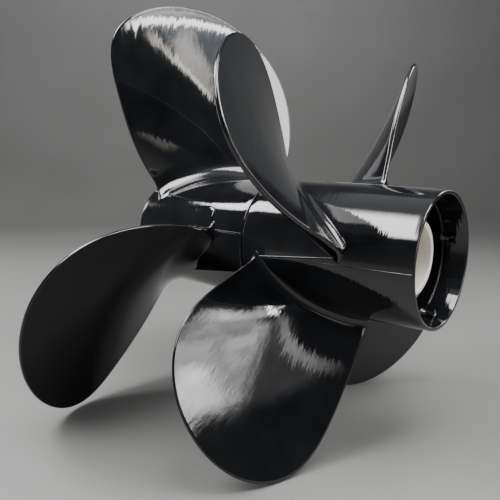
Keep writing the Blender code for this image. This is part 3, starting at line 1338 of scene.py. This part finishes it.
@dataclass(frozen=True)
class RearBarrel(FrontBarrel):
    """The rear hub's barrel, with its flared mouth, the step inside it and the lugs on the step.

    Attributes:
        bore: The radius of its bore.
        mouth_radius: The inner radius at the aft rim.
        step_radius: The inner radius at the step.
        step_ledge: How far the step stands in.
        step_easing: The rounding of its edges, as a share of that.
        step_depth: How deep in the mouth it lies.
        step_land: How long it is before it slopes back to the bore.
        lug_count: How many lugs stand on the step.
        lug_turn: The turn of the first lug.
        lug_radius: The lugs' radius.
        lug_easing: How far their edges are eased, as a share of it.
        lug_easing_steps: How many flats make an eased edge.
        lug_stand_off: How far outside the step's radius their middles lie.
        lug_length: How far they stand out of the step.
        lug_sides: How many flats make a lug round.
    """

    bore: float = 0.0438
    mouth_radius: float = 0.0440
    step_radius: float = 0.0412
    step_ledge: float = 0.0011
    step_easing: float = 1 / 4
    step_depth: float = 0.0165
    step_land: float = 0.0070
    lug_count: int = 4
    lug_turn: float = math.radians(14)
    lug_radius: float = 0.0036
    lug_easing: float = 1 / 4
    lug_easing_steps: int = 4
    lug_stand_off: float = 0.0012
    lug_length: float = 0.0085
    lug_sides: int = 32

    def build(self, bench: Bench) -> None:
        """Make and seat the barrel and its lugs.

        Args:
            bench: What they are made with.
        """
        land = self.step_radius - self.step_ledge
        easing = self.step_ledge * self.step_easing
        inside = [
            Corner(self.bore, self.line.fore, self.rounding),
            Corner(self.bore, -self.step_depth - 2 * self.step_land, self.rounding),
            Corner(land, -self.step_depth - self.step_land, self.rounding),
            Corner(land, -self.step_depth, easing),
            Corner(self.step_radius, -self.step_depth, easing),
            Corner(self.mouth_radius, self.line.aft, self.rounding),
        ]
        seat = Seat("rear_hub_barrel_cast", Body.REAR, Slot.PAINT, ("rear_hub_barrel",))
        bench.turn(seat, self.outside() + inside, self.sides)
        bench.grow(Seat("rear_mouth_lugs", Body.REAR, Slot.PAINT), bench.copy_rule,
                   {"Count": self.lug_count, "First turn": self.lug_turn}, self.lug())

    def lug(self) -> bpy.types.Mesh:
        """Model one round lug, as it stands on the step straight above the shaft line.

        Returns:
            The lug's mesh.
        """
        shape = bmesh.new()
        depth = self.lug_length + self.step_ledge
        made = bmesh.ops.create_cone(shape, cap_ends=True, segments=self.lug_sides, radius1=self.lug_radius,
                                     radius2=self.lug_radius, depth=depth)
        for vertex in made["verts"]:
            x, y, z = vertex.co
            vertex.co = (z, y, -x)
        rims = [edge for edge in shape.edges
                if abs(edge.verts[0].co.x - edge.verts[1].co.x) < depth / 2]
        bmesh.ops.bevel(shape, geom=rims, offset=self.lug_radius * self.lug_easing,
                        segments=self.lug_easing_steps, profile=0.5, affect="EDGES")
        middle = -self.step_depth + (self.lug_length - self.step_ledge) / 2
        bmesh.ops.translate(shape, vec=(middle, 0.0, self.step_radius + self.lug_stand_off),
                            verts=shape.verts)
        return taken(shape, "lug")


@dataclass(frozen=True)
class Liner:
    """The cream plastic ring in the rear inner hub's mouth.

    Attributes:
        bore: The radius of its bore.
        rounding: The rounding of its aft edges, twice that of the forward ones.
        sides: How many flats make the round.
    """

    bore: float = 0.0222
    rounding: float = 0.0008
    sides: int = 200

    def build(self, bench: Bench) -> None:
        """Make and seat the liner.

        Args:
            bench: What it is made with.
        """
        node = "rear_plastic_liner"
        corners = ring((bench.shaft.radius(node), self.bore), bench.shaft.stations(node),
                       (self.rounding, self.rounding / 2))
        bench.turn(Seat(f"{node}_moulded", Body.REAR, Slot.PLASTIC, (node,)), corners, self.sides)


@dataclass(frozen=True)
class CastingLine:
    """A raised line that the mould left on a barrel, once for each blade.

    Attributes:
        name: The end of the piece's name.
        start_station: The station that it starts from.
        end_station: The station that it ends at.
        start_turn: Its turn there, counted from the blade's own.
        end_turn: Its turn at the end.
        bow: How far it bows out between them.
        bead_radius: The radius of its bead.
        sink: How deep the bead's middle lies under the surface.
        points_along: How many points it follows.
    """

    name: str
    start_station: float
    end_station: float
    start_turn: float
    end_turn: float
    bow: float = 0.0
    bead_radius: float = 0.00034
    sink: float = 0.00018
    points_along: int = 32

    def build(self, bench: Bench, barrel: BarrelLine, blades: BladeSet) -> None:
        """Make and seat one propeller's lines of this kind."""
        blades.mark(bench, barrel, self.name, bench.line_rule, self)


@dataclass(frozen=True)
class RootPads:
    """The raised pads that carry one propeller's trailing roots.

    Attributes:
        middle_station: The station of each pad's middle.
        half_length: Half its length.
        middle_turn: The turn of its middle, counted from the blade's own.
        half_turn: Half the turn that it covers.
        height: How far it stands out at its aft end.
        corner: How square its outline is.
        points_round: How many points it has round its outline.
        points_over: How many rings it has from its top to its underside.
    """

    middle_station: float = -0.1860
    half_length: float = 0.0178
    middle_turn: float = math.radians(69.5)
    half_turn: float = math.radians(12.0)
    height: float = 0.0017
    corner: float = 4.2
    points_round: int = 96
    points_over: int = 48

    def build(self, bench: Bench, barrel: BarrelLine, blades: BladeSet) -> None:
        """Make and seat one propeller's pads."""
        blades.mark(bench, barrel, "root_pads", bench.pad_rule, self)


@dataclass(frozen=True)
class SoftLight:
    """A soft box of the studio, whose glow fades towards its edges.

    Attributes:
        name: Its name.
        place: Where its middle hangs.
        facing: The direction that it shines in.
        size: Its width and height.
        glow: Its radiance.
        turn: How it is turned about its middle, in degrees.
        tint: Its colour.
        fade: The share of its width and height over which each edge fades.
        folds: How much the folds of its cloth darken it.
        fold_scale: How many folds it has across.
        fold_warp: How much they are warped.
        fold_ends: The values of their pattern between which they darken it.
    """

    name: str
    place: Triple
    facing: Triple
    size: Pair
    glow: float
    turn: float = 0.0
    tint: Tint = Tint.PLAIN
    fade: float = 0.12
    folds: float = 0.0
    fold_scale: float = 5.0
    fold_warp: float = 1.0
    fold_ends: Pair = (0.35, 0.65)

    def edge(self, tree: bpy.types.NodeTree, place: bpy.types.NodeSocket) -> bpy.types.NodeSocket:
        """Fade the glow between two opposite edges.

        Args:
            tree: The light's nodes.
            place: The place between the edges, from 0 to 1.

        Returns:
            The share of the glow that is left.
        """
        nearest = wired(tree, "ShaderNodeMath", "Value", {0: place, 1: 0.5}, operation="PINGPONG")
        return wired(tree, "ShaderNodeMapRange", "Result", {"Value": nearest, "From Max": self.fade},
                     interpolation_type="SMOOTHSTEP")

    def cloth(self, tree: bpy.types.NodeTree) -> None:
        """Let the edges fade and the folds show.

        Args:
            tree: The light's nodes.
        """
        across = wired(tree, "ShaderNodeNewGeometry", "Parametric", {})
        folds = wired(tree, "ShaderNodeTexNoise", "Fac", {
            "Vector": across, "Scale": self.fold_scale, "Distortion": self.fold_warp})
        first, last = self.fold_ends
        strength = wired(tree, "ShaderNodeMapRange", "Result", {
            "Value": folds, "From Min": first, "From Max": last, "To Min": 1.0 - self.folds})
        for name in ("X", "Y"):
            place = wired(tree, "ShaderNodeSeparateXYZ", name, {"Vector": across})
            strength = wired(tree, "ShaderNodeMath", "Value", {0: strength, 1: self.edge(tree, place)},
                             operation="MULTIPLY")
        tree.links.new(strength, tree.nodes["Emission"].inputs["Strength"])

    def build(self) -> None:
        """Hang the light, unseen by the camera."""
        data = bpy.data.lights.new(self.name, "AREA")
        data.shape = "RECTANGLE"
        data.size, data.size_y = self.size
        data.energy = self.glow * math.pi * self.size[0] * self.size[1]
        data.color = self.tint.value
        data.use_nodes = True
        self.cloth(data.node_tree)
        lamp = bpy.data.objects.new(self.name, data)
        lamp.location = self.place
        spin = Quaternion((0.0, 0.0, 1.0), math.radians(self.turn))
        lamp.rotation_euler = (Vector(self.facing).to_track_quat("-Z", "Y") @ spin).to_euler()
        lamp.visible_camera = False
        bpy.context.scene.collection.objects.link(lamp)


@dataclass(frozen=True)
class Studio:
    """The pale floor, the soft light and the camera.

    Attributes:
        boxes: The soft boxes.
        floor_radius: Where the floor begins to sweep up.
        sweep_radius: The radius of the sweep.
        wall_height: How high the wall above it goes.
        sweep_steps: How many short edges make the sweep.
        floor_sides: How many flats make the wall round.
        floor_dark: The floor's darker colour.
        floor_light: Its lighter colour.
        floor_clouds: The pattern between them.
        floor_cloud_ends: The pattern's values at which the colour stops changing.
        floor_roughness: How dull it is.
        sky_colour: The colour of the even light from all round.
        sky_strength: Its strength.
        camera_from_rim: The camera's place, counted from the shaft line's start.
        target_from_rim: The place that it looks at, counted in the same way.
        lens: Its focal length in millimetres.
        sensor: Its sensor's width in millimetres.
    """

    boxes: tuple[SoftLight, ...]
    floor_radius: float = 1.3
    sweep_radius: float = 1.2
    wall_height: float = 2.2
    sweep_steps: int = 24
    floor_sides: int = 96
    floor_dark: Triple = (0.154, 0.154, 0.150)
    floor_light: Triple = (0.172, 0.172, 0.168)
    floor_clouds: Pattern = Pattern.even(3.0)
    floor_cloud_ends: Pair = (0.3, 0.7)
    floor_roughness: float = 0.55
    sky_colour: Triple = (0.30, 0.31, 0.33)
    sky_strength: float = 0.40
    camera_from_rim: Triple = (0.1256, -0.3396, 0.0664)
    target_from_rim: Triple = (-0.1678, 0.0, -0.0115)
    lens: float = 38.015
    sensor: float = 36.0

    def floor(self) -> None:
        """Lay the floor, which sweeps up into a wall all round."""
        arcs = [QUARTER_TURN * step / self.sweep_steps for step in range(self.sweep_steps + 1)]
        profile = [(self.floor_radius + self.sweep_radius * math.sin(arc),
                    self.sweep_radius * (1 - math.cos(arc))) for arc in arcs]
        profile.append((self.floor_radius + self.sweep_radius, self.wall_height))
        places = [(0.0, 0.0, 0.0)]
        faces = []
        rows = len(profile)
        for side in range(self.floor_sides):
            turn = math.tau * side / self.floor_sides
            places += [(radius * math.cos(turn), radius * math.sin(turn), height)
                       for radius, height in profile]
            near = 1 + side * rows
            far = 1 + (side + 1) % self.floor_sides * rows
            faces.append((0, near, far))
            faces += [(near + i, near + i + 1, far + i + 1, far + i) for i in range(rows - 1)]
        mesh = bpy.data.meshes.new("studio_floor")
        mesh.from_pydata(places, [], faces)
        mesh.shade_smooth()
        shader = Shader("pale_floor", self.floor_roughness)
        shader.colour(self.floor_clouds, self.floor_cloud_ends, self.floor_dark, self.floor_light)
        linked(mesh, shader.material)

    def sky(self) -> None:
        """Set the even light from all round."""
        world = bpy.data.worlds.new("studio")
        world.use_nodes = True
        back = world.node_tree.nodes["Background"]
        back.inputs["Color"].default_value = (*self.sky_colour, 1.0)
        back.inputs["Strength"].default_value = self.sky_strength
        bpy.context.scene.world = world

    def camera(self, shaft: ShaftLine) -> None:
        """Stand the camera where the photograph was taken from.

        Args:
            shaft: The shaft line.
        """
        data = bpy.data.cameras.new("camera")
        data.lens = self.lens
        data.sensor_width = self.sensor
        camera = bpy.data.objects.new("camera", data)
        camera.location = shaft.start + Vector(self.camera_from_rim)
        look = shaft.start + Vector(self.target_from_rim) - camera.location
        camera.rotation_euler = look.to_track_quat("-Z", "Y").to_euler()
        bpy.context.scene.collection.objects.link(camera)
        bpy.context.scene.camera = camera

    def build(self, shaft: ShaftLine) -> None:
        """Set up the whole studio.

        Args:
            shaft: The shaft line.
        """
        self.floor()
        self.sky()
        for box in self.boxes:
            box.build()
        self.camera(shaft)


# Boxes above the pair and boxes behind it. Nowhere do two boxes overlap in one plane, where they would
# hide one another.
ROOM_BOXES = (
    SoftLight("overhead", (0.0, 0.0, 2.4), DOWN, (3.0, 3.0), 0.60),
    SoftLight("front_high", (-0.25, -0.59, 0.90), DOWN, (0.42, 0.98), 24.0, fade=0.25),
    SoftLight("left_high", (-0.72, -0.29, 0.90), DOWN, (0.50, 0.38), 22.0, fade=0.20),
    SoftLight("right_high", (0.27, -0.06, 0.95), DOWN, (0.46, 0.48), 16.0, fade=0.10),
    SoftLight("wall_wash", (-1.0, 0.95, 1.4), (-0.75, 0.65, -0.3), (1.4, 0.6), 5.0),
    SoftLight("back_low", (-0.30, 0.90, 0.45), TO_CAMERA, (0.80, 0.50), 0.09),
    SoftLight("back_right", (0.38, 0.90, 0.50), TO_CAMERA, (0.50, 0.60), 2.2, fade=0.30),
    SoftLight("back_high", (0.35, 0.75, 0.75), (-0.3, -0.8, -0.5), (0.45, 0.30), 18.0, fade=0.20))

# Boxes aft of the pair that shine forward, each in a plane of its own.
AFT_BOXES = (
    SoftLight("aft_field", (0.600, 0.065, 0.33), FORWARD, (0.22, 0.38), 7.5, 8.0, fade=0.20,
              folds=0.6),
    SoftLight("aft_core", (0.603, 0.075, 0.22), FORWARD, (0.12, 0.16), 11.0, -30.0, fade=0.30,
              folds=0.3),
    SoftLight("aft_high", (0.606, 0.21, 0.92), FORWARD, (0.24, 0.60), 18.0, fade=0.06),
    SoftLight("aft_strip_left", (0.400, -0.028, 0.4225), FORWARD, (0.115, 0.026), 34.0, 56.0,
              fade=0.26),
    SoftLight("aft_strip_right", (0.403, 0.038, 0.4845), FORWARD, (0.13, 0.026), 34.0, 32.0,
              fade=0.23),
    SoftLight("aft_wedge", (0.406, -0.068, 0.474), FORWARD, (0.11, 0.022), 10.0, 108.6, Tint.WARM,
              fade=0.20),
    SoftLight("aft_wedge_top", (0.409, -0.040, 0.505), FORWARD, (0.11, 0.07), 6.5, 15.0, Tint.WARM,
              fade=0.25),
    SoftLight("aft_gap", (0.412, 0.024, 0.501), FORWARD, (0.17, 0.11), 3.0, 44.0, Tint.COOL,
              fade=0.12, folds=0.5),
    SoftLight("aft_crown", (0.415, 0.020, 0.432), FORWARD, (0.17, 0.030), 3.5, 44.0, Tint.COOL,
              fade=0.20))

# Low boxes, one at the left and the others aft of the pair.
LOW_BOXES = (
    SoftLight("left_low", (-1.2, -0.25, 0.40), (1.0, 0.2, -0.1), (0.3, 0.9), 8.0, fade=0.30),
    SoftLight("mouth_side", (0.55, -0.42, 0.20), (-0.42, 0.42, -0.06), (0.22, 0.22), 1.6, tint=Tint.WARM,
              fade=0.30, folds=0.5),
    SoftLight("near_top", (0.310, -0.010, 0.299), FORWARD, (0.11, 0.045), 6.0, -45.0, fade=0.40),
    SoftLight("near_strip", (0.300, -0.088, 0.205), FORWARD, (0.026, 0.25), 4.0, -12.0, fade=0.30,
              folds=0.5),
    SoftLight("near_field", (0.305, -0.050, 0.205), FORWARD, (0.11, 0.22), 0.7, fade=0.15, folds=0.4))

REAR_BLADES = BladeSet(
    prefix="rear", body=Body.REAR, hand=Hand.RIGHT, count=4, first_turn=math.radians(42.65),
    tip_radius=0.1765, pitch=0.429, pitch_rise=0.26, rake=(-0.0854, -0.0071, 0.0069),
    chord=(0.0966, 0.0628, 0.0370), skew=(0.0114, -0.0538, 0.0552), roundness=3.02, shoulder=0.60,
    root_thickness=0.0105, tip_thickness=0.0034, camber=0.0022, fillet=0.0065,
    nose=(0.0, 0.0, 0.2), heel=(0.0035, 0.0033, 0.22), heel_flare=(0.80, 0.75, 0.63),
    fillet_ends=(0.45, 0.10, 4.0), rim=(0.0022, 0.0034, 0.75))

FRONT_BLADES = BladeSet(
    prefix="front", body=Body.FRONT, hand=Hand.LEFT, count=3, first_turn=math.radians(-3.7),
    tip_radius=0.1970, pitch=0.424, pitch_rise=0.07, rake=(-0.2078, -0.0358, 0.0108),
    chord=(0.1080, 0.1705, -0.1162), skew=(-0.0014, 0.0426, -0.0659), roundness=9.58, shoulder=0.80,
    root_thickness=0.0115, tip_thickness=0.0036, camber=0.0026, fillet=0.0160,
    nose=(0.0015, 0.0, 0.2), heel=(0.0, 0.0, 0.2), heel_flare=(0.40, 0.35, 1.0),
    fillet_ends=(0.28, 0.10, 1.6), rim=(0.0022, 0.0026, 0.5))

REAR_LINES = (
    CastingLine("mould_ridges", -0.1210, -0.0508, math.radians(52.2), math.radians(44.7),
                bead_radius=0.00065, sink=0.00035),
    CastingLine("mould_lines", -0.0904, -0.0012, math.radians(50.3), math.radians(49.6)))

FRONT_LINES = (
    CastingLine("mould_ridges", -0.2600, -0.1760, math.radians(39.0), math.radians(54.3),
                bow=math.radians(2.3), bead_radius=0.00085, sink=0.00040),
    CastingLine("mould_lines", -0.1665, -0.1352, math.radians(80.0), math.radians(80.8)))

REAR_CORE = HubCore(
    prefix="rear", body=Body.REAR, hub_bore=0.0265, sleeve_bore=0.0125, tooth_count=14, rib_count=4,
    rib_turn=REAR_BLADES.first_turn, barrel_bore=RearBarrel.bore)

FRONT_CORE = HubCore(
    prefix="front", body=Body.FRONT, hub_bore=0.0300, sleeve_bore=0.0208, tooth_count=20, rib_count=3,
    rib_turn=FRONT_BLADES.first_turn, barrel_bore=FrontBarrel.bore)

AFT_RIM_RADIUS = 0.0465
MIDDLE_RADIUS = BladeSet.root_radius
FRONT_RIM_RADIUS = 0.0452
HUB_CROWN = 0.0006


def barrel_lines(shaft: ShaftLine) -> tuple[BarrelLine, BarrelLine]:
    """Find the barrels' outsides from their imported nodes.

    Args:
        shaft: The shaft line.

    Returns:
        The outsides of the front and the rear barrel.
    """
    rear_aft, rear_fore = shaft.stations("rear_hub_barrel")
    front_aft, front_fore = shaft.stations("front_hub_barrel")
    front = BarrelLine(front_aft, front_fore, rear_fore, MIDDLE_RADIUS, FRONT_RIM_RADIUS, HUB_CROWN)
    rear = BarrelLine(rear_aft, rear_fore, rear_aft, AFT_RIM_RADIUS, MIDDLE_RADIUS, HUB_CROWN)
    return front, rear


def main() -> None:
    """Build both propellers and the studio."""
    logging.basicConfig(level=logging.INFO, format="%(name)s: %(message)s")
    bench = Bench.ready()
    front_line, rear_line = barrel_lines(bench.shaft)
    Studio(ROOM_BOXES + AFT_BOXES + LOW_BOXES).build(bench.shaft)
    FrontBarrel(front_line).build(bench)
    RearBarrel(rear_line).build(bench)
    for core in (FRONT_CORE, REAR_CORE):
        core.build(bench)
    Liner().build(bench)
    for blades, barrel, lines in ((FRONT_BLADES, front_line, FRONT_LINES),
                                  (REAR_BLADES, rear_line, REAR_LINES)):
        blades.build(bench, barrel)
        for line in lines:
            line.build(bench, barrel, blades)
    RootPads().build(bench, front_line, FRONT_BLADES)


if __name__ == "__main__":
    main()
